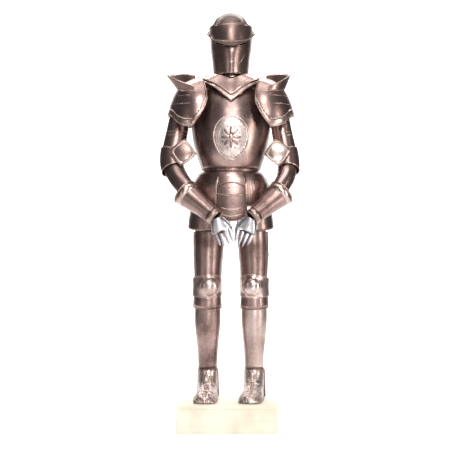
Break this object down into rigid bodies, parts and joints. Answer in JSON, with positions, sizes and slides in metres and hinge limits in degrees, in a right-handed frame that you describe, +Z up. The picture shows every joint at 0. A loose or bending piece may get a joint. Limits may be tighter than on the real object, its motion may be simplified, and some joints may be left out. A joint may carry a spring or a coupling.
{
  "type": "suit of plate armour on a display plinth",
  "caption": "Hollow full-body plate armour with a hinged visor and face plate, standing with joined gauntlets on a low box plinth.",
  "frame": {"origin": "middle of the whole box on the floor, under the plinth", "axes": "+Z up, the front faces -Y, +X is the wearer's left"},
  "size_m": [0.6424, 0.4132, 1.895],
  "materials": {
    "copper": "aged copper plating, polished with dark recesses",
    "silver": "bright polished metal",
    "plinth": "cream paint, slightly worn"
  },
  "bodies": {
    "suit": {"helmet_skull": "copper", "pivot_bolt_left": "copper", "pivot_bolt_right": "copper", "gorget_collar": "copper", "gorget_front": "copper", "gorget_lame": "copper", "gorget_back": "copper", "breastplate": "copper", "backplate": "copper", "medallion": "silver", "fauld_front": "copper", "fauld_back": "copper", "waist_band": "copper", "groin_lame_upper": "copper", "groin_lame_lower": "copper", "tasset_left": "copper", "tasset_right": "copper", "pauldron_right": "copper", "pauldron_wing_right": "copper", "upper_cannon_right": "copper", "couter_right": "copper", "couter_wing_right": "copper", "lower_cannon_right": "copper", "gauntlet_cuff_right": "copper", "hand_plate_right": "silver", "finger_little_right": "silver", "finger_ring_right": "silver", "finger_middle_right": "silver", "finger_index_right": "silver", "thumb_right": "silver", "pauldron_left": "copper", "pauldron_wing_left": "copper", "upper_cannon_left": "copper", "couter_left": "copper", "couter_wing_left": "copper", "lower_cannon_left": "copper", "gauntlet_cuff_left": "copper", "hand_plate_left": "silver", "finger_little_left": "silver", "finger_ring_left": "silver", "finger_middle_left": "silver", "finger_index_left": "silver", "thumb_left": "silver", "cuisse_front_right": "copper", "cuisse_back_right": "copper", "poleyn_right": "copper", "knee_lame_right": "copper", "greave_right": "copper", "sabaton_right": "copper", "heel_right": "copper", "cuisse_front_left": "copper", "cuisse_back_left": "copper", "poleyn_left": "copper", "knee_lame_left": "copper", "greave_left": "copper", "sabaton_left": "copper", "heel_left": "copper", "plinth": "plinth"},
    "bevor": {"helmet_bevor": "copper"},
    "visor": {"helmet_visor": "copper"}
  },
  "joints": [
    {"name": "bevor_hinge", "type": "hinge", "parent": "suit", "child": "bevor", "pos_m": [0.00627, 0.04265, 1.806], "axis": [-1, 0, 0], "range_deg": [0, 55]},
    {"name": "visor_hinge", "type": "hinge", "parent": "bevor", "child": "visor", "pos_m": [0.00627, 0.04265, 1.806], "axis": [-1, 0, 0], "range_deg": [0, 60]}
  ]
}
